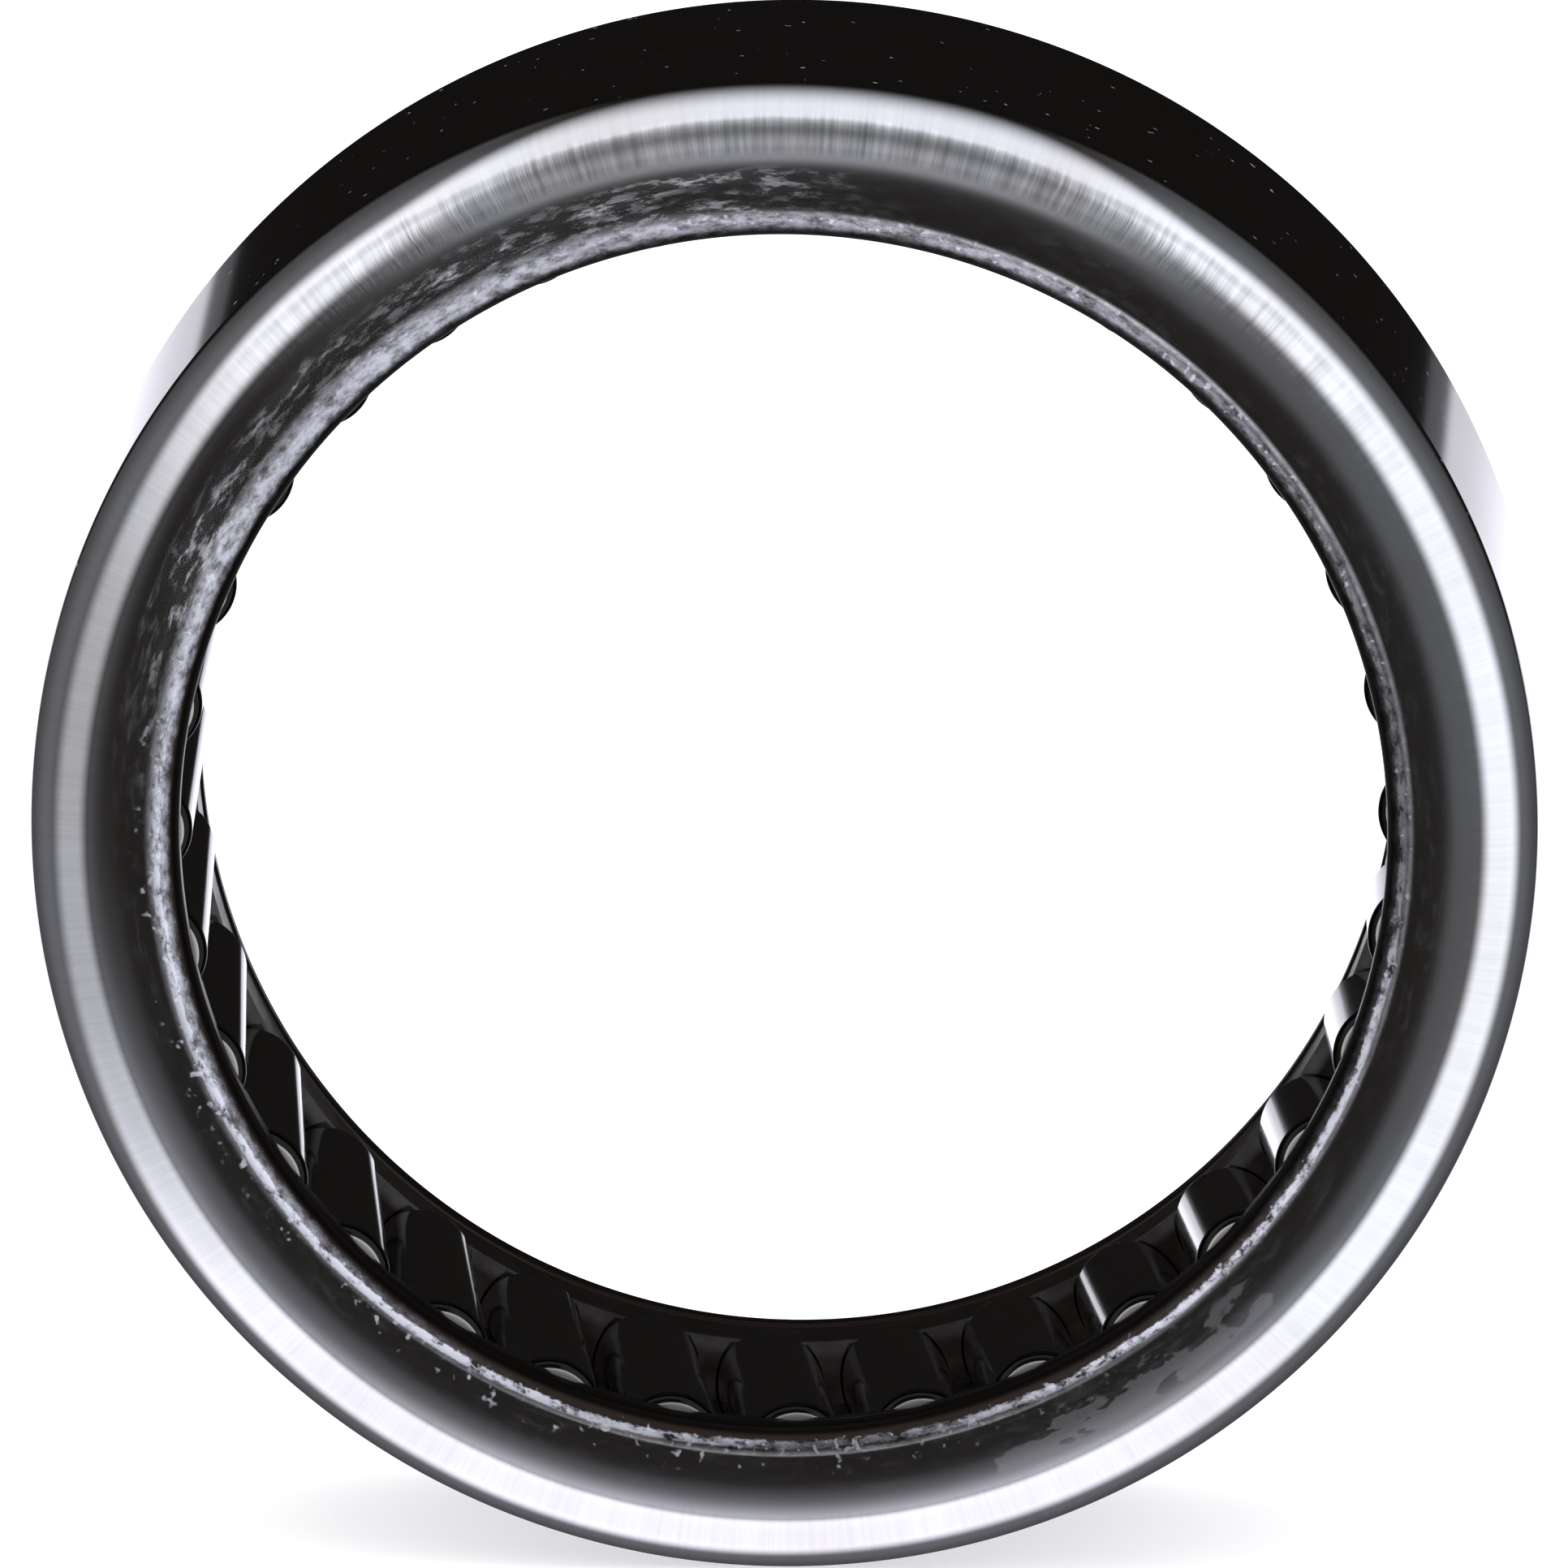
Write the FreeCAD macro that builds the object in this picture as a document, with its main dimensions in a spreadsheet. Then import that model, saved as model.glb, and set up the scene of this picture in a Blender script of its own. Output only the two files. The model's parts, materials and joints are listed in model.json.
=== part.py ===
"""Drawn-cup needle roller bearing, open at both ends, with one steel cage.

Millimetres. The bearing axis is Y, the origin is the centre of the bearing, and +Z is up, so that
the bearing stands on its rim. The cup and the needles are drawn as one half section, from their
middle plane outwards, and mirrored in it. The cage's far ring is the wider one, so its section is
drawn whole. The needles lie in it with a small skew, all the same way.
"""
import FreeCAD, Part
import Sketcher
import math
import os
import re

SHEET = "Dimensions"

# Driving dimensions: alias, value in mm (or a count, or degrees), meaning.
DIMENSIONS = [
    ("outside_diameter", 44.45, "outside of the cup, 1 3/4 in"),
    ("cup_width", 19.05, "over both lips, 3/4 in"),
    ("shaft_diameter", 34.925, "circle inside the needles, 1 3/8 in"),
    ("needle_diameter", 3.175, "1/8 in"),
    ("needle_count", 32, "evenly spaced"),
    ("needle_length", 12.2, "over the end faces"),
    ("needle_shift", 0.95, "middle of the needles, towards -Y from the middle of the cup"),
    ("needle_skew", 5.5, "degrees between a needle and the bearing axis, near end towards +X"),
    ("needle_end_round", 0.3, "radius at the rim of each end face"),
    ("raceway_play", 0.03, "gap between the needles and the raceway"),
    ("corner_radius", 2.0, "outside corner between wall and lip"),
    ("face_flat_diameter", 39.1, "outer edge of the flat part of the lip face"),
    ("face_drop", 0.35, "how far the face falls back from there to the wall"),
    ("face_blend_radius", 13.0, "between the flat and the falling part of the face"),
    ("lip_thickness", 1.5875, "sheet thickness, 1/16 in"),
    ("lip_bore_diameter", 35.54, "hole in each lip"),
    ("lip_rim_round", 0.9, "rolled front edge of the lip hole"),
    ("lip_back_round", 0.2, "broken back edge of the lip hole"),
    ("cage_play", 0.1, "gap between cage and lip at each end"),
    ("cage_sheet", 0.55, "cage sheet thickness"),
    ("cage_bore_diameter", 35.7, "inside the cage rings"),
    ("cage_flange_diameter", 40.6, "over the cage flanges"),
    ("cage_waist_diameter", 38.9, "inside the raised middle of the bars"),
    ("near_rail_length", 0.85, "near flange face to the start of the bar's slope"),
    ("far_rail_length", 2.45, "far flange face to the start of the bar's slope"),
    ("cage_bend_round", 0.3, "inside bends of the cage sheet"),
    ("window_side_play", 0.05, "gap between needle and window wall"),
    ("window_end_play", 0.16, "gap between the middle of a needle's end face and the window end"),
    ("rest_angle", -0.25, "middle of the first needle, from straight down towards +X"),
]

# Lengths that several pieces share, worked out from the sheet.
OUTSIDE_R = "outside_diameter / 2"
RACEWAY_R = "(shaft_diameter / 2 + needle_diameter + raceway_play)"
PITCH_R = "(shaft_diameter / 2 + needle_diameter / 2)"
LIP_BORE_R = "lip_bore_diameter / 2"
LIP_BACK_Y = "(cup_width / 2 - lip_thickness)"
CAGE_BORE_R = "cage_bore_diameter / 2"
CAGE_END_Y = "(cup_width / 2 - lip_thickness - cage_play)"
MIDDLE = "0"


# ---------------------------------------------------------------- spreadsheet and sketch helpers

def make_sheet(doc):
    """Puts the driving dimensions in a spreadsheet, one row each, under their aliases."""
    sheet = doc.addObject("Spreadsheet::Sheet", SHEET)
    for row, (alias, value, meaning) in enumerate(DIMENSIONS, start=1):
        sheet.set("A%d" % row, alias)
        sheet.set("B%d" % row, str(value))
        sheet.set("C%d" % row, meaning)
        sheet.setAlias("B%d" % row, alias)
    doc.recompute()
    return sheet


def bound(formula):
    """The formula with each alias, any word with an underscore, as a reference to the sheet."""
    return re.sub(r"\w+_\w+", lambda alias: "<<%s>>.%s" % (SHEET, alias.group()), formula)


def value_of(sheet, formula):
    """What the formula comes to now, in millimetres."""
    result = sheet.evalExpression(bound(formula))
    return float(getattr(result, "Value", result))


def origin_feature(body, role):
    """The body's own origin plane or axis with this role."""
    for feature in body.Origin.OriginFeatures:
        if feature.Role == role:
            return feature
    raise ValueError("no origin feature %s" % role)


def new_body(doc, label):
    body = doc.addObject("PartDesign::Body", label)
    body.Label = label
    return body


def new_sketch(body, name, plane_role):
    sketch = body.newObject("Sketcher::SketchObject", name)
    sketch.AttachmentSupport = [(origin_feature(body, plane_role), "")]
    sketch.MapMode = "FlatFace"
    return sketch


def place_point(sketch, geometry, point, formulas):
    """Holds one point of the sketch at (x, y), each given as a formula of the sheet's aliases."""
    root, origin_point, axis_of = -1, 1, {"DistanceX": -2, "DistanceY": -1}
    for kind, formula in zip(("DistanceX", "DistanceY"), formulas):
        if formula == MIDDLE:
            sketch.addConstraint(Sketcher.Constraint("PointOnObject", geometry, point, axis_of[kind]))
            continue
        size = value_of(sketch.Document.getObject(SHEET), formula)
        index = sketch.addConstraint(
            Sketcher.Constraint(kind, root, origin_point, geometry, point, size))
        sketch.setExpression("Constraints[%d]" % index, bound(formula))


def draw_section(sketch, corners):
    """A closed outline of straight lines through the corners, each an (x, y) pair of formulas."""
    sheet = sketch.Document.getObject(SHEET)
    start, end = 1, 2
    points = [FreeCAD.Vector(value_of(sheet, x), value_of(sheet, y), 0) for x, y in corners]
    count = len(points)
    for i in range(count):
        sketch.addGeometry(Part.LineSegment(points[i], points[(i + 1) % count]), False)
    for i in range(count):
        sketch.addConstraint(Sketcher.Constraint("Coincident", i, end, (i + 1) % count, start))
    for i, formulas in enumerate(corners):
        place_point(sketch, i, start, formulas)


def revolution(doc, body, name, corners):
    """Turns a section, drawn as (radius, distance along the axis), about Y."""
    sketch = new_sketch(body, name + "_section", "XY_Plane")
    draw_section(sketch, corners)
    turned = body.newObject("PartDesign::Revolution", name + "_turned")
    turned.Profile = sketch
    turned.ReferenceAxis = (sketch, ["V_Axis"])
    turned.Angle = 360
    body.Tip = turned
    doc.recompute()
    return turned


def mirrored_revolution(doc, body, name, corners):
    """Turns a half section about Y and mirrors it in the plane across the axis."""
    half = revolution(doc, body, name, corners)
    mirror = body.newObject("PartDesign::Mirrored", name + "_whole")
    mirror.Originals = [half]
    mirror.MirrorPlane = (origin_feature(body, "XZ_Plane"), [""])
    body.Tip = mirror
    doc.recompute()
    return mirror


def ring_edges(shape, radius, height):
    """Names of the two circular edges of this radius at +height and -height along Y."""
    close = 1e-4
    names = []
    for number, edge in enumerate(shape.Edges, start=1):
        curve = edge.Curve
        if not isinstance(curve, Part.Circle):
            continue
        same_radius = abs(curve.Radius - radius) < close
        if same_radius and abs(abs(curve.Center.y) - height) < close:
            names.append("Edge%d" % number)
    return names


def round_rings(doc, body, base, name, ring, size_formula):
    """Fillets the pair of circular edges at ring, a (radius, height) pair of formulas."""
    sheet = doc.getObject(SHEET)
    edges = ring_edges(base.Shape, value_of(sheet, ring[0]), value_of(sheet, ring[1]))
    if not edges:
        raise ValueError("no edges to round for %s" % name)
    fillet = body.newObject("PartDesign::Fillet", name)
    fillet.Base = (base, edges)
    fillet.setExpression("Radius", bound(size_formula))
    body.Tip = fillet
    doc.recompute()
    return fillet


# ---------------------------------------------------------------- the pieces

def make_cup(doc):
    """The drawn cup: a plain wall with a lip rolled in at each end, one C-shaped section.

    The lip face is flat round the hole and falls back a little towards the outside corner.
    """
    cup_end = "cup_width / 2"
    wall_end = "(cup_width / 2 - face_drop)"
    face_flat_r = "face_flat_diameter / 2"
    body = new_body(doc, "drawn_cup")
    whole = mirrored_revolution(doc, body, "cup", [
        (RACEWAY_R, MIDDLE),
        (OUTSIDE_R, MIDDLE),
        (OUTSIDE_R, wall_end),
        (face_flat_r, cup_end),
        (LIP_BORE_R, cup_end),
        (LIP_BORE_R, LIP_BACK_Y),
        (RACEWAY_R, LIP_BACK_Y),
    ])
    inside_corner = "(corner_radius - (%s - %s))" % (OUTSIDE_R, RACEWAY_R)
    tip = round_rings(doc, body, whole, "outside_corner", (OUTSIDE_R, wall_end), "corner_radius")
    tip = round_rings(doc, body, tip, "face_blend", (face_flat_r, cup_end), "face_blend_radius")
    tip = round_rings(doc, body, tip, "inside_corner", (RACEWAY_R, LIP_BACK_Y), inside_corner)
    tip = round_rings(doc, body, tip, "lip_rim", (LIP_BORE_R, cup_end), "lip_rim_round")
    round_rings(doc, body, tip, "lip_back_edge", (LIP_BORE_R, LIP_BACK_Y), "lip_back_round")
    return body


def cage_half(side, rail_length):
    """Corners of half the cage's section, as (inner run, outer run), each from the middle outwards."""
    sheet_t = "cage_sheet"
    waist_r = "cage_waist_diameter / 2"
    flange_r = "cage_flange_diameter / 2"
    rail_end = "(%s - %s)" % (CAGE_END_Y, rail_length)
    waist_end = "(%s - (%s - %s))" % (rail_end, waist_r, CAGE_BORE_R)
    bend_shift = "cage_sheet * tan(22.5 deg)"
    inner = [
        (waist_r, waist_end),
        (CAGE_BORE_R, rail_end),
        (CAGE_BORE_R, CAGE_END_Y),
    ]
    outer = [
        ("(%s + %s)" % (waist_r, sheet_t), "(%s + %s)" % (waist_end, bend_shift)),
        ("(%s + %s)" % (CAGE_BORE_R, sheet_t), "(%s + %s)" % (rail_end, bend_shift)),
        ("(%s + %s)" % (CAGE_BORE_R, sheet_t), "(%s - %s)" % (CAGE_END_Y, sheet_t)),
        (flange_r, "(%s - %s)" % (CAGE_END_Y, sheet_t)),
        (flange_r, CAGE_END_Y),
    ]
    return tuple([(radius, "%s * %s" % (side, along)) for radius, along in run]
                 for run in (inner, outer))


def make_cage(doc):
    """The cage: an M-shaped sheet section with a flange and a ring at each end.

    The bars between the windows slope outwards at 45 degrees from the rings to their raised middle.
    Each window's walls follow the needle, so that they hold it from inside and from outside.
    """
    far_inner, far_outer = cage_half("1", "far_rail_length")
    near_inner, near_outer = cage_half("-1", "near_rail_length")
    body = new_body(doc, "needle_cage")
    whole = revolution(doc, body, "cage",
                       far_outer + far_inner[::-1] + near_inner + near_outer[::-1])
    tip = round_rings(doc, body, whole, "ring_bend", (CAGE_BORE_R, CAGE_END_Y), "cage_bend_round")
    cut_windows(doc, body, tip)
    return body


def window_direction(sheet):
    """Along the first needle, which is skewed about the radius through its middle."""
    skew = math.radians(value_of(sheet, "needle_skew"))
    place = math.radians(value_of(sheet, "rest_angle"))
    return FreeCAD.Vector(-math.sin(skew) * math.cos(place), math.cos(skew),
                          -math.sin(skew) * math.sin(place))


def cut_windows(doc, body, base):
    """One skewed window round the first needle, then the pattern of all of them."""
    sheet = doc.getObject(SHEET)
    centre_x = "%s * sin(rest_angle * 1 deg)" % PITCH_R
    centre_depth = "%s * cos(rest_angle * 1 deg)" % PITCH_R
    radius = "(needle_diameter / 2 + window_side_play)"
    sketch = new_sketch(body, "window_section", "XZ_Plane")
    sketch.setExpression("AttachmentOffset.Base.z", bound("needle_shift"))
    centre = FreeCAD.Vector(value_of(sheet, centre_x), -value_of(sheet, centre_depth), 0)
    circle = Part.Circle(centre, FreeCAD.Vector(0, 0, 1), value_of(sheet, radius))
    sketch.addGeometry(circle, False)
    centre_point, root, origin_point = 3, -1, 1
    across = sketch.addConstraint(
        Sketcher.Constraint("DistanceX", root, origin_point, 0, centre_point, centre.x))
    below = sketch.addConstraint(
        Sketcher.Constraint("DistanceY", 0, centre_point, root, origin_point, -centre.y))
    size = sketch.addConstraint(Sketcher.Constraint("Radius", 0, value_of(sheet, radius)))
    sketch.setExpression("Constraints[%d]" % across, bound(centre_x))
    sketch.setExpression("Constraints[%d]" % below, bound(centre_depth))
    sketch.setExpression("Constraints[%d]" % size, bound(radius))
    window = body.newObject("PartDesign::Pocket", "window")
    window.Profile = sketch
    window.SideType = "Symmetric"
    window.UseCustomVector = True
    window.Direction = window_direction(sheet)
    window.AlongSketchNormal = True
    window.setExpression("Length", bound("needle_length + 2 * window_end_play"))
    body.Tip = window
    doc.recompute()
    if window.Shape.Volume >= base.Shape.Volume:
        raise ValueError("the window cuts nothing")
    windows = body.newObject("PartDesign::PolarPattern", "windows")
    windows.Originals = [window]
    windows.Axis = (origin_feature(body, "Y_Axis"), [""])
    windows.Angle = 360
    windows.setExpression("Occurrences", bound("needle_count"))
    body.Tip = windows
    doc.recompute()


def make_needle(doc, number):
    """One needle, a plain roller with rounded end rims, turned about its own Y and put in place.

    It is first skewed about the vertical, as the lowest needle lies, then carried round the axis.
    """
    half_length = "needle_length / 2"
    needle_r = "needle_diameter / 2"
    body = new_body(doc, "needle_roller_%02d" % number)
    whole = mirrored_revolution(doc, body, "needle", [
        (MIDDLE, MIDDLE),
        (needle_r, MIDDLE),
        (needle_r, half_length),
        (MIDDLE, half_length),
    ])
    round_rings(doc, body, whole, "end_round", (needle_r, half_length), "needle_end_round")
    angle = "(rest_angle + 360 * %d / needle_count)" % (number - 1)
    sheet = doc.getObject(SHEET)
    skewed = FreeCAD.Rotation(FreeCAD.Vector(0, 0, 1), value_of(sheet, "needle_skew"))
    round_the_axis = FreeCAD.Rotation(FreeCAD.Vector(0, -1, 0), value_of(sheet, angle))
    body.Placement.Rotation = round_the_axis * skewed
    body.setExpression("Placement.Base.x", bound("%s * sin(%s * 1 deg)" % (PITCH_R, angle)))
    body.setExpression("Placement.Base.y", bound("-1 * needle_shift"))
    body.setExpression("Placement.Base.z", bound("-1 * %s * cos(%s * 1 deg)" % (PITCH_R, angle)))
    return body


# ---------------------------------------------------------------- build, check and write

def check(doc, bodies):
    """Stops on any failed object, and on any piece that isn't one valid solid."""
    for item in doc.Objects:
        if "Invalid" in item.State or "Error" in item.State:
            raise RuntimeError("%s is %s" % (item.Label, item.State))
    for body in bodies:
        shape = body.Shape
        if shape.isNull() or not shape.isValid() or len(shape.Solids) != 1:
            raise RuntimeError("%s is not one valid solid" % body.Label)


def main():
    doc = FreeCAD.newDocument("needle_roller_bearing")
    sheet = make_sheet(doc)
    bodies = [make_cup(doc), make_cage(doc)]
    for number in range(1, int(value_of(sheet, "needle_count")) + 1):
        bodies.append(make_needle(doc, number))
    doc.recompute()
    check(doc, bodies)
    os.makedirs("parts", exist_ok=True)
    for body in bodies:
        body.Shape.exportStep("parts/%s.step" % body.Label)
        print("%s  %.1f mm3" % (body.Label, body.Shape.Volume))


main()
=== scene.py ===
"""Needle roller bearing: a drawn steel cup, a pressed cage and 32 needles, in a pale studio.

Metres. The bearing axis is Y, the near lip faces -Y towards the camera, +X is on the right and
+Z is up. The bearing's own lengths are multiples of MM, and what the record knows is read from it.
"""

import json
import math

import bpy
from mathutils import Matrix, Vector


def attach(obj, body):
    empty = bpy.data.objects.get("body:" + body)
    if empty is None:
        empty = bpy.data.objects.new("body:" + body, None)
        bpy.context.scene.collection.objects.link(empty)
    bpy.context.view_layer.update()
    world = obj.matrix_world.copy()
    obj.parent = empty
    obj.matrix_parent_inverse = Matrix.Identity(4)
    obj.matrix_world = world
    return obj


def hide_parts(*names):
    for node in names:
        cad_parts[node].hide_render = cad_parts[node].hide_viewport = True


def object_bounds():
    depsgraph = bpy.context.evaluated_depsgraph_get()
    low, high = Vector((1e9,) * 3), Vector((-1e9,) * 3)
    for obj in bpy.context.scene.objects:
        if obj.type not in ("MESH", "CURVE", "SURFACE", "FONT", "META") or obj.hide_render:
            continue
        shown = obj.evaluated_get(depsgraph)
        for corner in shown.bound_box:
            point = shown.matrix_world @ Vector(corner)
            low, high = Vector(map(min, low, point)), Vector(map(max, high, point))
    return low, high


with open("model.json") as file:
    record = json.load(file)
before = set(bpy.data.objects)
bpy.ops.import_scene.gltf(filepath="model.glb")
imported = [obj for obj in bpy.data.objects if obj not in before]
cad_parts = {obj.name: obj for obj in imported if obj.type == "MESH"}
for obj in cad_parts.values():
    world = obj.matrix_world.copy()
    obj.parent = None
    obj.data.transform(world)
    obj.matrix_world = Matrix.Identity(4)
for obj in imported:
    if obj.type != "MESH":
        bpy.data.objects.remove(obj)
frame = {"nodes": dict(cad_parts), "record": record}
cad_low, cad_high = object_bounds()

MM = 0.001

# ---------------------------------------------------------------- sizes

# From the frame: the whole box and the mounts and joints of the record.
MOUNTS = {mount["name"]: mount for mount in frame["record"]["mounts"]}
JOINTS = {joint["name"]: joint for joint in frame["record"]["behaviour"]["joints"]}
OUTSIDE_R = MOUNTS["housing_seat"]["dims"]["r_mm"] * MM
LIP_BORE_R = MOUNTS["near_lip_hole"]["dims"]["r_mm"] * MM
SHAFT_R = MOUNTS["shaft_seat"]["dims"]["r_mm"] * MM
NEEDLE_HALF = MOUNTS["shaft_seat"]["dims"]["length_mm"] / 2 * MM
CUP_END = cad_high.y
NEEDLES = sorted(node for node in frame["nodes"] if node.startswith("needle_roller"))

# The needles.
NEEDLE_R = 1.5875 * MM
NEEDLE_END_ROUND = 0.3 * MM

# The cup's section. Each lip is flat out to FACE_FLAT_R and has fallen by FACE_DROP at the wall.
RACEWAY_R = SHAFT_R + 2 * NEEDLE_R + 0.03 * MM
LIP_THICKNESS = 1.5875 * MM
LIP_RIM_ROUND = 0.9 * MM
LIP_BACK_ROUND = 0.2 * MM
CORNER_R = 2.0 * MM
FACE_FLAT_R = 19.55 * MM
FACE_DROP = 0.35 * MM
FACE_BLEND_R = 13.0 * MM
INSIDE_CORNER_R = CORNER_R - (OUTSIDE_R - RACEWAY_R)

# How finely the outlines are drawn and turned, and the distance that counts as none.
ARC_STEP = math.radians(6)
CUP_SEGMENTS = 512
NEEDLE_SEGMENTS = 96
TINY = 1e-9


# ---------------------------------------------------------------- outlines and lathes

def rounded_outline(corners, closed=True):
    """Points and outward normals of an outline in the (radius, axis) plane.

    Each corner is (radius, along, rounding), listed anticlockwise, and a rounding turns it into
    an arc. Every straight stretch and every arc carries its own exact normals.
    """
    points = []
    count = len(corners)
    spots = [Vector(corner[:2]) for corner in corners]
    for i, (_, _, rounding) in enumerate(corners):
        here = spots[i]
        before = (spots[i - 1] - here).normalized()
        after = (spots[(i + 1) % count] - here).normalized()
        normal_in = Vector((-before.y, before.x))
        normal_out = Vector((after.y, -after.x))
        if not closed and i in (0, count - 1):
            points.append((here, normal_out if i == 0 else normal_in))
        elif not rounding:
            points += [(here, normal_in), (here, normal_out)]
        else:
            turn = math.atan2(normal_in.cross(normal_out), normal_in.dot(normal_out))
            side = math.copysign(1, turn)
            start = here + before * rounding * math.tan(abs(turn) / 2)
            centre = start - normal_in * rounding * side
            first = math.atan2(normal_in.y, normal_in.x)
            steps = max(5, math.ceil(abs(turn) / ARC_STEP))
            for step in range(steps + 1):
                angle = first + turn * step / steps
                normal = Vector((math.cos(angle), math.sin(angle)))
                points.append((centre + normal * rounding * side, normal))
    return points


def lathe(name, outline, segments, closed=True):
    """A mesh turned about Y from the outline, with exact normals. Points on the axis become poles."""
    verts, normals, faces = [], [], []
    rings = []
    for point, normal in outline:
        if point.x < TINY:
            rings.append([len(verts)] * segments)
            verts.append((0, point.y, 0))
            normals.append((0, normal.y, 0))
            continue
        rings.append(range(len(verts), len(verts) + segments))
        for step in range(segments):
            angle = 2 * math.pi * step / segments
            across, up = math.sin(angle), -math.cos(angle)
            verts.append((point.x * across, point.y, point.x * up))
            normals.append((normal.x * across, normal.y, normal.x * up))
    for i in range(len(rings) if closed else len(rings) - 1):
        low, high = rings[i], rings[(i + 1) % len(rings)]
        if (outline[i][0] - outline[(i + 1) % len(rings)][0]).length < TINY:
            continue
        for step in range(segments):
            following = (step + 1) % segments
            quad = [low[step], high[step], high[following], low[following]]
            face = list(dict.fromkeys(quad))
            if len(face) > 2:
                faces.append(face)
    return smooth_mesh(name, verts, faces, normals)


def smooth_mesh(name, verts, faces, normals):
    mesh = bpy.data.meshes.new(name)
    mesh.from_pydata(verts, [], faces)
    mesh.validate()
    mesh.shade_smooth()
    mesh.normals_split_custom_set_from_vertices(normals)
    mesh.update()
    return mesh


def add_piece(name, mesh, node, body, material, place=Matrix()):
    """Shows the mesh in place of the CAD node, riding on its body."""
    piece = bpy.data.objects.new(name, mesh)
    piece.matrix_world = place
    bpy.context.scene.collection.objects.link(piece)
    if not mesh.materials:
        mesh.materials.append(material)
    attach(piece, body)
    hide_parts(node)
    return piece


# ---------------------------------------------------------------- the pieces

def cup_mesh():
    """The cup's C-shaped section: outer wall, corner, crowned lip, rolled hole edge, raceway."""
    wall_end = CUP_END - FACE_DROP
    lip_back = CUP_END - LIP_THICKNESS
    half = [
        (OUTSIDE_R, wall_end, CORNER_R),
        (FACE_FLAT_R, CUP_END, FACE_BLEND_R),
        (LIP_BORE_R, CUP_END, LIP_RIM_ROUND),
        (LIP_BORE_R, lip_back, LIP_BACK_ROUND),
        (RACEWAY_R, lip_back, INSIDE_CORNER_R),
    ]
    other_half = [(radius, -along, rounding) for radius, along, rounding in reversed(half)]
    return lathe("drawn_cup_mesh", rounded_outline(half + other_half), CUP_SEGMENTS)


def needle_mesh():
    """A plain roller with a round at the rim of each end face."""
    outline = rounded_outline([
        (0, -NEEDLE_HALF, 0),
        (NEEDLE_R, -NEEDLE_HALF, NEEDLE_END_ROUND),
        (NEEDLE_R, NEEDLE_HALF, NEEDLE_END_ROUND),
        (0, NEEDLE_HALF, 0),
    ], closed=False)
    return lathe("needle_roller_mesh", outline, NEEDLE_SEGMENTS, closed=False)


def dress_pieces():
    """The cup and the needles get finer meshes, the cage keeps its own, and each a material."""
    steel = cup_material()
    add_piece("cup_shell", cup_mesh(), "drawn_cup", "cup", steel)
    cage = frame["nodes"]["needle_cage"]
    cage.data.materials.clear()
    cage.data.materials.append(cage_material())
    shared = needle_mesh()
    needle_steel = needle_material()
    for node in NEEDLES:
        number = node.rsplit("_", 1)[1]
        spin = JOINTS["needle_" + number + "_spin"]
        lean = Vector((0, 1, 0)).rotation_difference(Vector(spin["axis"]))
        place = Matrix.Translation(spin["pos_m"]) @ lean.to_matrix().to_4x4()
        add_piece("needle_" + number, shared, node, "needle_" + number,
                  needle_steel, place)


# ---------------------------------------------------------------- shader helpers

# In mm: nearer to the axis than this, no direction away from it is worked out.
SMALLEST_RADIUS = 0.001


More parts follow.
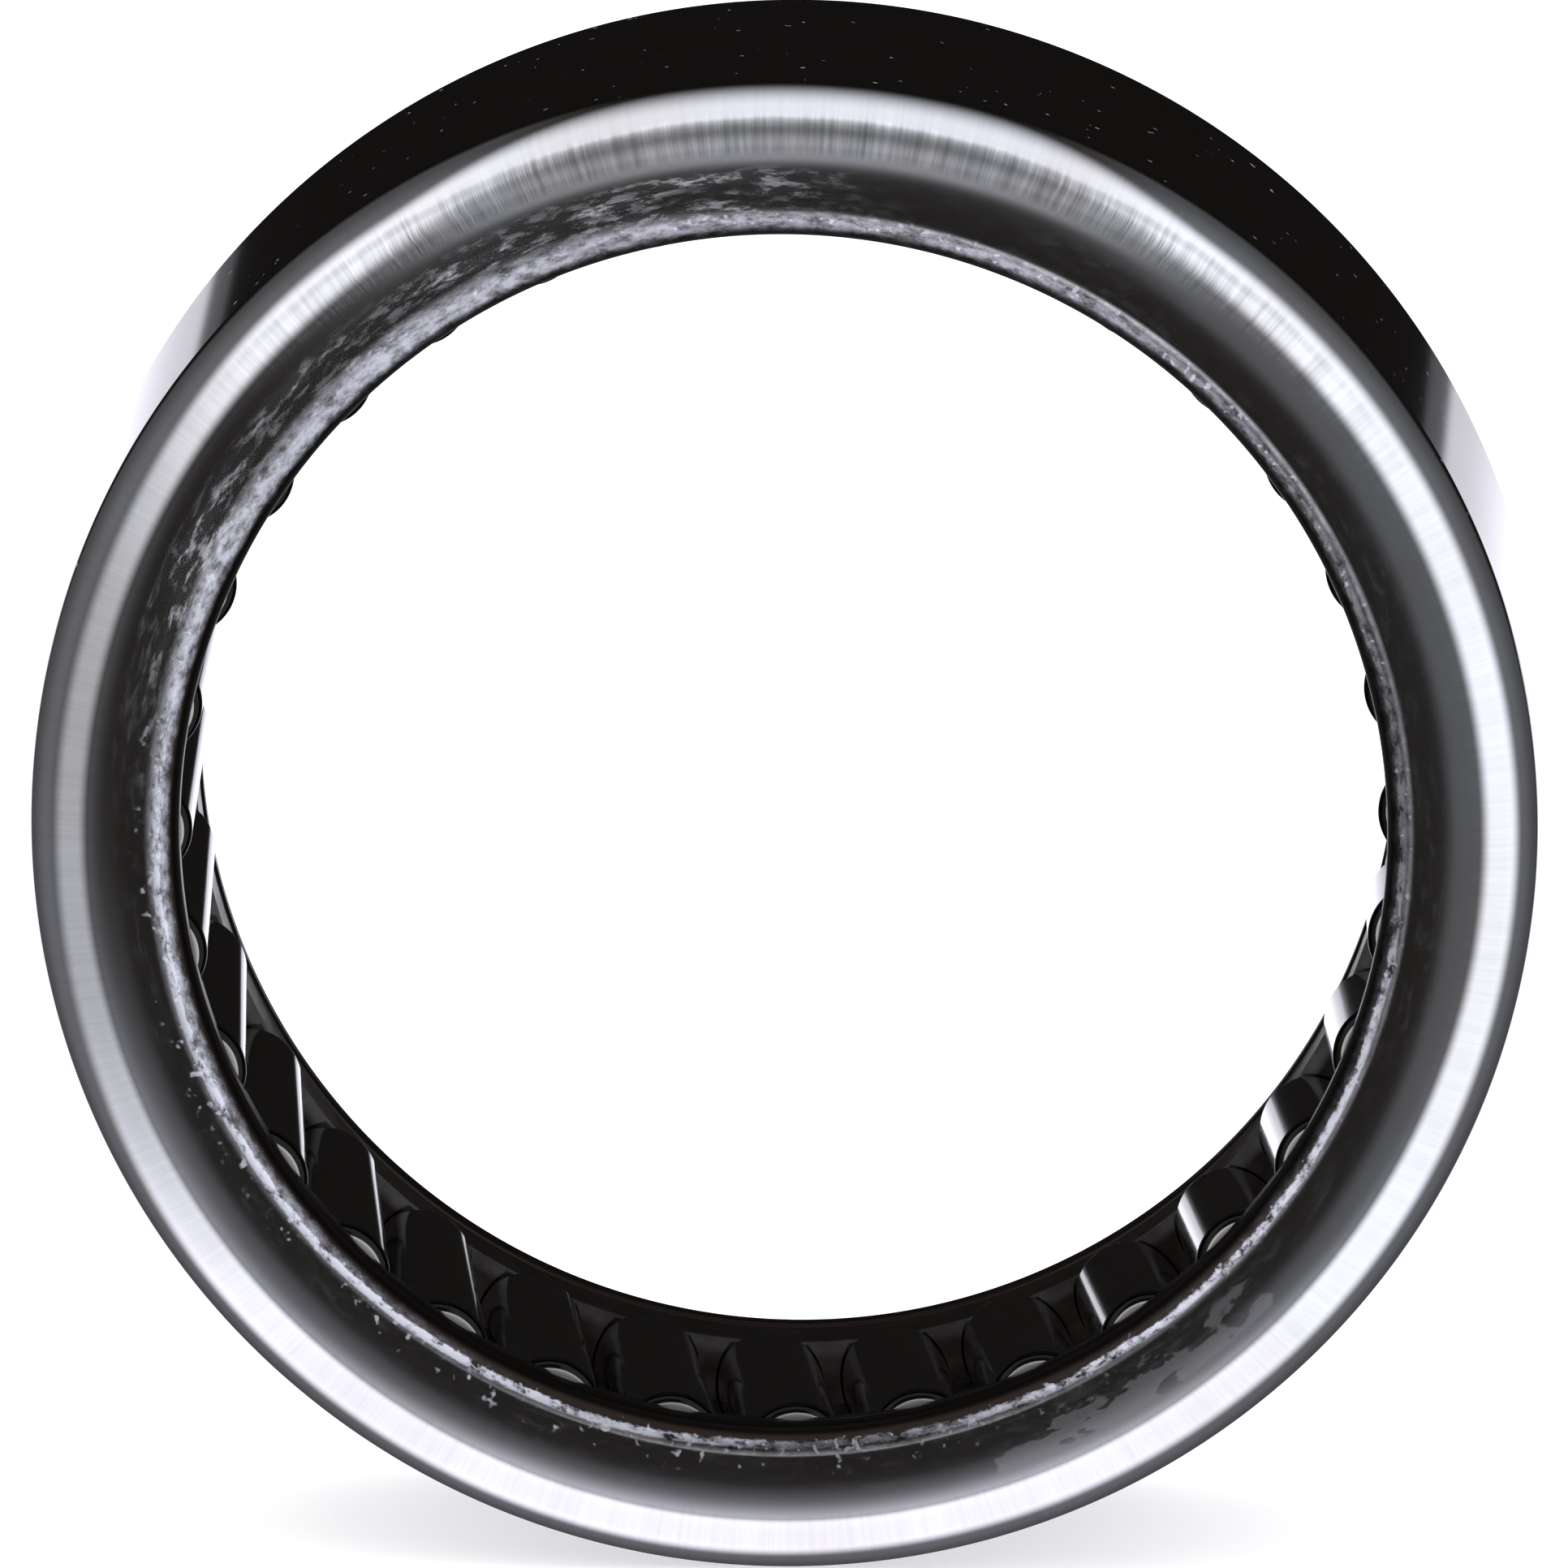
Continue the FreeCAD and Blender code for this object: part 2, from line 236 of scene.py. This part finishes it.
class Graph:
    """Adds nodes to one node tree in short calls. An input is a value or another node's output."""

    def __init__(self, tree):
        self.tree = tree
        tree.nodes.clear()

    def add(self, kind, inputs=None, output=0, **settings):
        """A node of this kind, with named inputs fed; gives its chosen output."""
        node = self.tree.nodes.new("ShaderNode" + kind)
        for name, value in settings.items():
            setattr(node, name, value)
        for name, value in (inputs or {}).items():
            self.feed(node.inputs[name], value)
        return node.outputs[output] if node.outputs else node

    def feed(self, socket, value):
        if isinstance(value, bpy.types.NodeSocket):
            self.tree.links.new(value, socket)
        else:
            socket.default_value = value

    def maths(self, operation, *values):
        return self.add("Math", dict(enumerate(values)), operation=operation)

    def plus(self, *values):
        total = values[0]
        for value in values[1:]:
            total = self.maths("ADD", total, value)
        return total

    def times(self, *values):
        product = values[0]
        for value in values[1:]:
            product = self.maths("MULTIPLY", product, value)
        return product

    def minus(self, a, b):
        return self.maths("SUBTRACT", a, b)

    def opposite(self, value):
        return self.maths("SUBTRACT", 1.0, value)

    def rise(self, value, low, high, start=0.0, end=1.0):
        """A smooth step from start to end as value goes from low to high."""
        return self.add("MapRange", {"Value": value, "From Min": low, "From Max": high,
                                     "To Min": start, "To Max": end},
                        interpolation_type="SMOOTHSTEP")

    def band(self, value, low, high, soft):
        """1 between low and high, falling to 0 over soft beyond each."""
        up = self.rise(value, low - soft, low)
        down = self.rise(value, high, high + soft)
        return self.times(up, self.opposite(down))

    def blend(self, factor, a, b):
        """Plain mix of two numbers."""
        return self.plus(a, self.times(factor, self.minus(b, a)))

    def tint(self, factor, a, b):
        """Mix of two colours."""
        return self.add("Mix", {0: factor, 6: a, 7: b}, output=2, data_type="RGBA")

    def noise(self, vector, scale, detail=3.0, roughness=0.5):
        return self.add("TexNoise", {"Vector": vector, "Scale": scale, "Detail": detail,
                                     "Roughness": roughness})

    def split(self, vector):
        node = self.tree.nodes.new("ShaderNodeSeparateXYZ")
        self.feed(node.inputs[0], vector)
        return node.outputs

    def join(self, x, y, z):
        return self.add("CombineXYZ", {0: x, 1: y, 2: z})

    def toward(self, right, above, angle_deg, width_deg):
        """1 where the unit vector (right, above) points at this angle, 0 beyond the width.

        Angles go anticlockwise from +X, seen from the front.
        """
        angle = math.radians(angle_deg)
        closeness = self.plus(self.times(right, math.cos(angle)),
                              self.times(above, math.sin(angle)))
        return self.rise(closeness, math.cos(math.radians(width_deg)), 1.0)

    def ring_noise(self, place, round_scale, radial_scale, detail=4.0, roughness=0.6):
        """Noise laid round the axis, without a seam: round_scale per radian, radial_scale per mm."""
        radius, across, up = place
        vector = self.join(self.times(across, round_scale), self.times(up, round_scale),
                           self.times(radius, radial_scale))
        return self.noise(vector, 1.0, detail, roughness)


def grey(value, warm=0.0):
    """A grey with a little warmth (towards red) or, below zero, coolness."""
    return (value * (1 + warm), value, value * (1 - warm), 1)


def new_material(name):
    material = bpy.data.materials.new(name)
    material.use_nodes = True
    return material, Graph(material.node_tree)


def polar(graph):
    """An object's own coordinates: radius, along, across, up and point.

    radius, along the axis and the whole point are in mm. (across, up) is the unit vector away
    from the axis, so that noise laid on it has no seam.
    """
    texture = graph.add("TexCoord", output="Object")
    scaled = graph.add("VectorMath", {0: texture, 1: (1 / MM, 1 / MM, 1 / MM)},
                       operation="MULTIPLY")
    x, along, z = graph.split(scaled)
    radius = graph.maths("SQRT", graph.plus(graph.times(x, x), graph.times(z, z)))
    off_axis = graph.maths("MAXIMUM", radius, SMALLEST_RADIUS)
    across = graph.maths("DIVIDE", x, off_axis)
    up = graph.maths("DIVIDE", z, off_axis)
    return radius, along, across, up, scaled


def finish_metal(graph, colour, roughness, bump, bump_size, film=None, film_colour=None):
    """Metal with a bump in metres and, where film is given, a thin dull film over it, which also
    carries painted light on the rolled rim and the needles' ends.
    """
    normal = graph.add("Bump", {"Height": bump, "Distance": bump_size, "Strength": 1.0})
    metal = graph.add("BsdfPrincipled", {"Base Color": colour, "Metallic": 1.0,
                                         "Roughness": roughness, "Normal": normal})
    surface = metal
    if film is not None:
        dull = graph.add("BsdfDiffuse", {"Color": film_colour, "Roughness": 0.5,
                                         "Normal": normal})
        surface = graph.add("MixShader", {0: film, 1: metal, 2: dull})
    graph.add("OutputMaterial", {"Surface": surface})


# ---------------------------------------------------------------- materials

# Where the finish changes, each from and to, in mm. First by distance along the axis.
LIP_STARTS = (8.6, 8.9)
NEEDLE_SIDE_ENDS = (NEEDLE_HALF / MM - 0.35, NEEDLE_HALF / MM - 0.25)

# Then by radius: the rolled rim, the flat of the lip, the brushed corner and the wall.
RIM_DARK_ENDS = (17.88, 18.22)
# The bright crest line and the patches on the rolled rim are painted highlights.
RIM_CREST = (18.19, 18.31)
RIM_SPECKLED = (18.15, 18.6)
RIM_FADES = (18.35, 18.65)
FLAT_FLECKED = (18.5, 18.9)
FLAT_SMEARED = (18.5, 19.6)
FLAT_BLOTTED = (19.0, 19.9)
CORNER_BRUSHED = (20.45, 21.15)
CORNER_LINE = (21.18, 21.24)
EDGE_BRUSHED = (21.3, 21.9)
WALL_STARTS = (22.1, 22.2)

# The cage's sheet from its rings outwards into the recesses, and the satin disc of a needle's end.
# Into the recesses the cage's sheet is darkened by painted shade.
RECESS_DEEPENS = (18.0, 18.35)
# The satin disc's bright edge is a painted highlight, and beyond the disc the round is painted dark.
SATIN_EDGE = (1.25, 1.32)
SATIN_ENDS = (1.32, 1.36)

FILM_TINT = (0.57, 0.58, 0.65, 1)


def cup_material():
    """Drawn steel under a thin oil film: cross-brushed corners, smeared lips, a pitted wall, and
    painted highlights on the rolled rim.
    """
    material, graph = new_material("cup_steel_and_painted_highlights")
    radius, along, across, up, point = polar(graph)
    place = (radius, across, up)
    on_lip = graph.rise(graph.maths("ABSOLUTE", along), *LIP_STARTS)
    on_wall = graph.rise(radius, *WALL_STARTS)

    brushing, brushed, dark_line = corner_brushing(graph, place)
    film, grain = lip_film(graph, place, on_lip)
    # The rolled rim gives its tone with painted highlights, the dull bright layer that paints them,
    # and where the rim lies.
    rim_tone, painted_rim_highlight, rim_zone = rolled_rim(graph, place)
    specks = graph.rise(graph.noise(point, 3.4, detail=0.5), 0.79, 0.82)
    specks = graph.times(specks, on_wall)

    tone = graph.noise(point, 0.16, detail=2.0)
    colour = graph.tint(graph.rise(tone, 0.35, 0.65), grey(0.62, 0.012), grey(0.67, -0.02))
    shade = graph.plus(1.0, graph.times(graph.minus(brushing, 0.5), brushed, 1.5))
    shade = graph.times(shade, graph.opposite(graph.times(dark_line, 0.28)))
    colour = graph.add("VectorMath", {0: colour, 3: shade}, operation="SCALE")
    colour = graph.tint(rim_zone, colour, rim_tone)
    roughness = graph.plus(0.10, graph.times(brushed, 0.07), graph.times(film, 0.5),
                           graph.times(rim_zone, 0.20), graph.times(on_wall, -0.05))
    bump = graph.plus(graph.times(graph.minus(brushing, 0.5), brushed, 0.8),
                      graph.times(grain, film, 1.2), graph.times(specks, -1.0))
    # The dull layer: oil film on the lips and over the wall's pits, and the rim's painted highlights.
    film_and_rim_highlight = graph.plus(film, graph.times(painted_rim_highlight, rim_zone), graph.times(specks, 0.35))
    finish_metal(graph, colour, roughness, bump, 0.006 * MM, film_and_rim_highlight, FILM_TINT)
    return material


def corner_brushing(graph, place):
    """Fine lines across the corner, strongest above, and the wavy line where they end."""
    radius, across, up = place
    fine = graph.ring_noise(place, 150.0, 0.22, detail=2.5, roughness=0.6)
    broad = graph.ring_noise(place, 38.0, 0.15, detail=2.0)
    brushing = graph.blend(0.35, fine, broad)
    above = graph.toward(across, up, 88, 62)
    inner_zone = graph.band(radius, *CORNER_BRUSHED, 0.35)
    outer_zone = graph.band(radius, *EDGE_BRUSHED, 0.2)
    brushed = graph.plus(graph.times(inner_zone, graph.plus(0.20, graph.times(above, 1.2))),
                         graph.times(outer_zone, 0.14))
    wave = graph.times(graph.minus(graph.ring_noise(place, 9.0, 0.0), 0.5), 0.22)
    dark_line = graph.band(graph.plus(radius, wave), *CORNER_LINE, 0.14)
    return brushing, brushed, graph.times(dark_line, above)


def lip_film(graph, place, on_lip):
    """Dried oil on the flat of the lip, and its grain: smears, a blot and flecks near the rim."""
    smears, grain = oil_smears(graph, place)
    film = graph.maths("MAXIMUM", smears, oil_blot(graph, place))
    film = graph.maths("MAXIMUM", film, oil_flecks(graph, place))
    return graph.times(film, on_lip), grain


def oil_smears(graph, place):
    """Bluish streaks at the upper left, drawn out round the hole."""
    radius, across, up = place
    grain = graph.ring_noise(place, 22.0, 4.5, detail=5.0, roughness=0.72)
    streaks = graph.rise(grain, 0.48, 0.64)
    patches = graph.rise(graph.ring_noise(place, 3.2, 1.4, detail=3.0), 0.44, 0.62)
    upper_left = graph.toward(across, up, 128, 54)
    amount = graph.plus(0.05, upper_left)
    fading = graph.band(radius, *FLAT_SMEARED, 0.4)
    film = graph.times(amount, fading, graph.blend(patches, 0.28, 1.0),
                       graph.blend(streaks, 0.08, 1.0), 0.42)
    return film, grain


def oil_blot(graph, place):
    """A faint blot with a sharp, lobed edge at the lower right, thickest away from the hole."""
    radius, across, up = place
    lower_right = graph.rise(graph.toward(across, up, -57, 17), 0.0, 0.3)
    lobes = graph.times(graph.ring_noise(place, 10.0, 1.3, detail=5.0), lower_right)
    thicker = graph.times(graph.minus(radius, 19.3), 0.12)
    blot = graph.rise(graph.plus(lobes, thicker), 0.50, 0.52)
    return graph.times(blot, graph.band(radius, *FLAT_BLOTTED, 0.3), lower_right, 0.07)


def oil_flecks(graph, place):
    """Small light flecks beside the rolled rim, mostly at the lower left."""
    radius, across, up = place
    flecks = graph.rise(graph.ring_noise(place, 60.0, 3.4, detail=1.5), 0.62, 0.74)
    lower_left = graph.toward(across, up, 225, 95)
    return graph.times(lower_left, flecks, graph.band(radius, *FLAT_FLECKED, 0.4), 0.35)


def rolled_rim(graph, place):
    """The rolled edge of the lip hole: dark and rough, with painted highlights on its crest and in
    patches.

    Its border is ragged, and lies further out on the upper left.
    """
    radius, across, up = place
    blotches = graph.ring_noise(place, 30.0, 3.4, detail=6.0, roughness=0.74)
    ragged = graph.times(graph.minus(blotches, 0.5), 0.25)
    wider = graph.plus(graph.times(graph.toward(across, up, 155, 105), 0.20),
                       graph.times(graph.toward(across, up, 130, 38), 0.16))
    border = graph.plus(graph.minus(radius, wider), ragged)
    # Where the rim lies: there its dark tone with painted highlights replaces the lip's colour.
    rim_zone = graph.opposite(graph.rise(border, *RIM_FADES))
    patches = rim_patches(graph, place, blotches, ragged)
    crest = rim_crest(graph, place, blotches, border)
    specks = graph.rise(graph.ring_noise(place, 75.0, 4.2, detail=1.0), 0.63, 0.72)
    specks = graph.times(specks, graph.band(border, *RIM_SPECKLED, 0.1), 0.4)
    # The painted highlights of the crest and the patches, with small bright specks.
    bright = graph.maths("MINIMUM", graph.plus(patches, crest, specks), 1.0)
    tone = graph.tint(bright, (0.024, 0.018, 0.015, 1), (0.61, 0.62, 0.69, 1))
    return tone, graph.times(bright, 0.45), rim_zone


def rim_patches(graph, place, blotches, ragged):
    """Painted highlights: bright blotches on the rim, most of them on the left and above, fewest
    below.
    """
    radius, across, up = place
    late = graph.times(graph.toward(across, up, 190, 65), 0.14)
    outward = graph.rise(graph.plus(graph.minus(radius, late), ragged), *RIM_DARK_ENDS)
    left = graph.toward(across, up, 170, 78)
    above = graph.toward(across, up, 92, 50)
    not_below = graph.opposite(graph.toward(across, up, 270, 75))
    amount = graph.plus(graph.times(not_below, 0.10), graph.times(left, 0.58),
                        graph.times(above, 0.26))
    return graph.times(graph.rise(blotches, 0.30, 0.68, 0.1, 1.0), outward, amount)


def rim_crest(graph, place, blotches, border):
    """The painted highlight along the rim's crest: a wandering bright line, strongest at the lower
    left and right.
    """
    _, across, up = place
    lower_left = graph.toward(across, up, 224, 52)
    lower_right = graph.toward(across, up, 318, 42)
    wander = graph.times(graph.minus(graph.ring_noise(place, 6.0, 0.0), 0.5), 0.22)
    sides = graph.times(graph.plus(lower_left, lower_right), -0.07)
    crest = graph.band(graph.plus(border, wander, sides), *RIM_CREST, 0.09)
    amount = graph.plus(0.15, graph.times(lower_left, 1.3), graph.times(lower_right, 0.9))
    return graph.times(crest, graph.rise(blotches, 0.36, 0.60), amount)


def cage_material():
    """Oiled sheet steel: grey rings with painted shade darkening them below, and dark brown painted
    shade in the recesses between the needles.
    """
    material, graph = new_material("cage_steel_and_painted_shade")
    radius, _, across, up, point = polar(graph)
    tone = graph.rise(graph.noise(point, 0.9, detail=4.0), 0.35, 0.70)
    below = graph.toward(across, up, 272, 85)
    ring = graph.tint(tone, (0.27, 0.25, 0.235, 1), (0.40, 0.385, 0.375, 1))
    # Painted shade: the rings darker below.
    shaded_lower_ring = graph.tint(tone, (0.05, 0.044, 0.040, 1), (0.085, 0.078, 0.075, 1))
    # Painted shade: the recesses between the needles nearly black.
    recess_shade = graph.tint(tone, (0.014, 0.011, 0.009, 1), (0.032, 0.026, 0.023, 1))
    deep = graph.rise(radius, *RECESS_DEEPENS)
    colour = graph.tint(deep, graph.tint(below, ring, shaded_lower_ring), recess_shade)
    grain = graph.ring_noise((radius, across, up), 60.0, 1.0)
    roughness = graph.plus(0.22, graph.times(grain, 0.18), graph.times(deep, 0.15))
    finish_metal(graph, colour, roughness, grain, 0.004 * MM)
    return material


def needle_material():
    """Polished bearing steel with the faintest lengthwise lines, and satin ends with a painted bright
    edge, painted light beside the hole and a painted dark round at their rim.
    """
    material, graph = new_material("needle_steel_and_painted_light")
    radius, along, across, up, _ = polar(graph)
    each = graph.times(graph.add("ObjectInfo", output="Random"), 50.0)
    lines = graph.noise(graph.join(graph.times(across, 30.0), graph.times(along, 0.5),
                                   graph.plus(graph.times(up, 30.0), each)), 1.0, detail=3.0)
    grinding = graph.noise(graph.join(graph.plus(each, across), graph.times(radius, 14.0), up),
                           1.0, detail=3.0)
    past_side = graph.rise(graph.maths("ABSOLUTE", along), *NEEDLE_SIDE_ENDS)
    off_disc = graph.rise(radius, *SATIN_ENDS)
    at_end = graph.times(past_side, graph.opposite(off_disc))
    # Painted shade: the round at the rim of each end is painted nearly black.
    painted_dark_edge = graph.times(past_side, off_disc)
    colour = graph.tint(lines, grey(0.62, 0.0), grey(0.70, -0.01))
    colour = graph.tint(painted_dark_edge, colour, grey(0.012, 0.1))
    roughness = graph.plus(0.05, graph.times(lines, 0.05), graph.times(at_end, 0.27))
    # The bright edge of the satin disc is a painted highlight.
    dullness_and_edge_highlight = graph.plus(0.10, graph.times(grinding, 0.22),
                          graph.rise(radius, *SATIN_EDGE, 0.0, 0.35))
    # The satin ends, with painted light beside the hole.
    satin_and_painted_light = graph.times(at_end, light_from_the_side(graph), dullness_and_edge_highlight)
    finish_metal(graph, colour, roughness, lines, 0.0006 * MM, satin_and_painted_light, grey(0.62, 0.05))
    return material


def light_from_the_side(graph):
    """Painted light: how much brighter a needle's end is painted beside the hole than straight below
    it.
    """
    x, _, z = graph.split(graph.add("NewGeometry", output="Position"))
    sideways = graph.maths("ABSOLUTE", graph.maths("DIVIDE", x, graph.maths("MINIMUM", z, -MM)))
    return graph.rise(sideways, 0.1, 1.0, 0.35, 1.6)


def floor_material():
    """Matt pale grey, nearly white, with a faint unevenness and a little light of its own."""
    material, graph = new_material("studio_floor")
    point = graph.add("TexCoord", output="Object")
    tone = graph.noise(point, 3.0)
    colour = graph.tint(tone, grey(0.97), grey(0.985))
    matt = graph.add("BsdfDiffuse", {"Color": colour})
    glow = graph.add("Emission", {"Color": colour, "Strength": FLOOR_GLOW})
    surface = graph.add("AddShader", {0: matt, 1: glow})
    graph.add("OutputMaterial", {"Surface": surface})
    return material


# ---------------------------------------------------------------- the studio

# The camera: a little above and to the right of the axis, far away with a long lens. Its angles
# are in degrees, its distance in metres and its sensor in Blender's millimetres.
CAMERA_AZIMUTH = 1.45
CAMERA_ELEVATION = 9.72
CAMERA_ROLL = 0.46
CAMERA_DISTANCE = 1.55
CAMERA_SENSOR = 36.0
CAMERA_CLIP = (0.1, 20.0)
PICTURE_MARGIN = 1.0373
PICTURE_AT_FACE = PICTURE_MARGIN * 2 * OUTSIDE_R
AIM_RIGHT = -0.21 * MM
AIM_UP = -0.09 * MM

# How bright the steel sees the diffusers, at full and in the darkest places, and how bright the
# eye sees the air around the object.
CARD_LEVEL = 1.60
DARKEST = 0.004
AIR_LEVEL = 1.22

# What the steel sees, in degrees away from the point that the flat lip mirrors the camera to:
# the diffuser ring's middle borders, and from where to where each dim thing starts and ends.
RING_INNER = 27.0
RING_OUTER = 84.0
LENS_HOLE_ENDS = (12.0, 30.0)
HOLDER_STARTS = (7.0, 11.0)
HOLDER_ENDS = (20.0, 40.0)
CANOPY_STARTS = (11.2, 14.4)
CANOPY_DIMS = (24.0, 46.0)
CANOPY_ENDS = (50.0, 68.0)
SKIRT_STARTS = (60.0, 90.0)
SKIRT_DIMS = (95.0, 138.0)
SKIRT_ENDS = (138.0, 156.0)

# By the height of the unit vector from that point: where the ring gives way to the canopy.
TOP_STARTS = (0.76, 0.96)

# Beyond the bearing, by the height and the depth of the unit vector from the bearing.
GREY_STEP = (-0.054, -0.058)
LIGHT_STEP = (-0.069, -0.075)
LIGHTER_BELOW = (-0.080, -0.150)
FAR_WALL_FADES = (-0.24, -0.36)
FAR_WALL_STARTS = (0.88, 0.94)

# The floor, in metres, and its own light, which leaves only a faint shadow under the bearing.
FLOOR_SIZE = 8.0
FLOOR_GLOW = 0.35

# The soft light, in metres and watts.
LIGHT_PLACE = (-0.15, -0.2, 0.6)
LIGHT_SIZE = 0.5
LIGHT_WATTS = 0.35


def view_direction(side):
    """From the object to the camera for side -1, and where a flat lip face mirrors that for +1."""
    azimuth, elevation = math.radians(CAMERA_AZIMUTH), math.radians(CAMERA_ELEVATION)
    return Vector((-side * math.sin(azimuth) * math.cos(elevation),
                   -math.cos(azimuth) * math.cos(elevation), -side * math.sin(elevation)))


def round_the_mirror(graph, x, y, z):
    """A direction's place round the point that the flat lip mirrors the camera to.

    away is its angle from there in degrees, and (right, above) the unit vector towards it.
    """
    middle = view_direction(1)
    cosine = graph.plus(graph.times(x, middle.x), graph.times(y, middle.y),
                        graph.times(z, middle.z))
    away = graph.times(graph.maths("ARCCOSINE", cosine), 180 / math.pi)
    side_x = graph.minus(x, graph.times(cosine, middle.x))
    side_z = graph.minus(z, graph.times(cosine, middle.z))
    reach = graph.maths("SQRT", graph.plus(graph.times(side_x, side_x),
                                           graph.times(side_z, side_z), TINY))
    right = graph.maths("DIVIDE", side_x, reach)
    above = graph.maths("DIVIDE", side_z, reach)
    return away, right, above


def diffuser_ring(graph, away, right, above, top):
    """The bright ring: nearer below, further out and softer above, dimmer on the left."""
    below = graph.toward(right, above, 270, 85)
    left = graph.toward(right, above, 183, 44)
    lower_left = graph.toward(right, above, 232, 45)
    level = graph.plus(0.93, graph.times(left, -0.55), graph.times(top, -0.16))
    inner = graph.plus(RING_INNER, graph.times(below, -10.0), graph.times(left, -5.0),
                       graph.times(top, 33.0))
    inner_soft = graph.plus(11.0, graph.times(below, -4.5))
    outer = graph.plus(RING_OUTER, graph.times(top, 35.0), graph.times(left, -14.0),
                       graph.times(lower_left, 5.0))
    outer_soft = graph.plus(13.0, graph.times(top, 18.0))
    into = graph.rise(graph.maths("DIVIDE", graph.minus(away, inner), inner_soft), -1.0, 1.0)
    past = graph.rise(graph.maths("DIVIDE", graph.minus(away, outer), outer_soft), -1.0, 1.0)
    return graph.times(level, into, graph.opposite(past))


def dim_surroundings(graph, away, right, above, top):
    """What is dim round the ring: a canopy above, the ring's holder, a skirt and the lens hole."""
    not_top = graph.opposite(top)
    below = graph.toward(right, above, 270, 85)
    upper_left = graph.toward(right, above, 160, 55)
    canopy = graph.times(top, graph.rise(away, *CANOPY_STARTS),
                         graph.rise(away, *CANOPY_DIMS, 0.28, 0.09),
                         graph.opposite(graph.rise(away, *CANOPY_ENDS)))
    holder_level = graph.plus(0.075, graph.times(below, -0.015))
    holder = graph.times(not_top, graph.opposite(upper_left), graph.rise(away, *HOLDER_STARTS),
                         graph.opposite(graph.rise(away, *HOLDER_ENDS)), holder_level)
    skirt = graph.times(not_top, graph.rise(away, *SKIRT_STARTS),
                        graph.rise(away, *SKIRT_DIMS, 0.115, 0.055),
                        graph.opposite(graph.rise(away, *SKIRT_ENDS)))
    lens_hole = graph.times(graph.opposite(graph.rise(away, *LENS_HOLE_ENDS)), 0.007)
    return graph.plus(canopy, holder, skirt, lens_hole, DARKEST)


def far_wall(graph, y, z):
    """What the cup's wall mirrors from beyond: a grey step, then ever lighter downwards."""
    level = graph.plus(graph.rise(z, *GREY_STEP, 0.0, 0.058),
                       graph.rise(z, *LIGHT_STEP, 0.0, 0.38),
                       graph.rise(z, *LIGHTER_BELOW, 0.0, 0.40))
    return graph.times(level, graph.rise(y, *FAR_WALL_STARTS),
                       graph.opposite(graph.rise(z, *FAR_WALL_FADES)))


def light_tint(graph, level, right, above):
    """Faintly bluish where it is light, faintly brown where it is dark."""
    cool = graph.tint(graph.toward(right, above, 270, 90), (0.98, 0.985, 1.06, 1),
                      (0.99, 0.97, 1.07, 1))
    cool = graph.tint(graph.rise(right, 0.2, 1.0), cool, (0.96, 0.98, 1.06, 1))
    return graph.tint(graph.rise(level, 0.02, 0.09), (1.10, 0.98, 0.90, 1), cool)


def studio_world():
    """Pale air for the eye and the floor; for the steel, a ring of diffusers round a lens hole."""
    world = bpy.data.worlds.new("studio")
    bpy.context.scene.world = world
    world.use_nodes = True
    graph = Graph(world.node_tree)
    x, y, z = graph.split(graph.add("TexCoord", output="Generated"))
    away, right, above = round_the_mirror(graph, x, y, z)
    top = graph.rise(above, *TOP_STARTS)
    level = graph.plus(diffuser_ring(graph, away, right, above, top),
                       dim_surroundings(graph, away, right, above, top), far_wall(graph, y, z))
    level = graph.times(level, CARD_LEVEL)
    steel_sees = graph.add("Background", {"Color": light_tint(graph, level, right, above),
                                          "Strength": level})
    air = graph.add("Background", {"Color": grey(1.0), "Strength": AIR_LEVEL})
    by_steel = graph.add("LightPath", output="Is Glossy Ray")
    mixed = graph.add("MixShader", {0: by_steel, 1: air, 2: steel_sees})
    graph.add("OutputWorld", {"Surface": mixed})


def studio_floor():
    """A pale floor that the steel doesn't mirror: its place in the reflections is the ring's."""
    half = FLOOR_SIZE / 2
    drop = cad_low.z
    verts = [(-half, -half, drop), (half, -half, drop), (half, half, drop), (-half, half, drop)]
    mesh = bpy.data.meshes.new("studio_floor")
    mesh.from_pydata(verts, [], [(0, 1, 2, 3)])
    mesh.materials.append(floor_material())
    floor = bpy.data.objects.new("studio_floor", mesh)
    floor.visible_glossy = False
    bpy.context.scene.collection.objects.link(floor)


def studio_camera():
    """A long lens that shows PICTURE_AT_FACE from side to side at the near lip's distance."""
    data = bpy.data.cameras.new("studio_camera")
    camera = bpy.data.objects.new("studio_camera", data)
    bpy.context.scene.collection.objects.link(camera)
    back = view_direction(-1)
    turn = (-back).to_track_quat("-Z", "Y").to_matrix().to_4x4()
    roll = Matrix.Rotation(math.radians(CAMERA_ROLL), 4, "Z")
    aim = turn.to_3x3() @ Vector((AIM_RIGHT, AIM_UP, 0))
    camera.matrix_world = Matrix.Translation(aim + back * CAMERA_DISTANCE) @ turn @ roll
    data.sensor_width = CAMERA_SENSOR
    data.lens = CAMERA_SENSOR * (CAMERA_DISTANCE - CUP_END) / PICTURE_AT_FACE
    data.clip_start, data.clip_end = CAMERA_CLIP
    bpy.context.scene.camera = camera


def studio_light():
    """One soft light above the object for the floor's gentle shadow; the steel doesn't mirror it."""
    data = bpy.data.lights.new("soft_light", "AREA")
    data.shape = "DISK"
    data.size = LIGHT_SIZE
    data.energy = LIGHT_WATTS
    light = bpy.data.objects.new("soft_light", data)
    light.location = LIGHT_PLACE
    light.rotation_euler = (Vector((0, 0, 0)) - light.location).to_track_quat("-Z", "Y").to_euler()
    light.visible_glossy = False
    bpy.context.scene.collection.objects.link(light)


dress_pieces()
studio_world()
studio_floor()
studio_light()
studio_camera()
bpy.context.scene.view_settings.view_transform = "Standard"
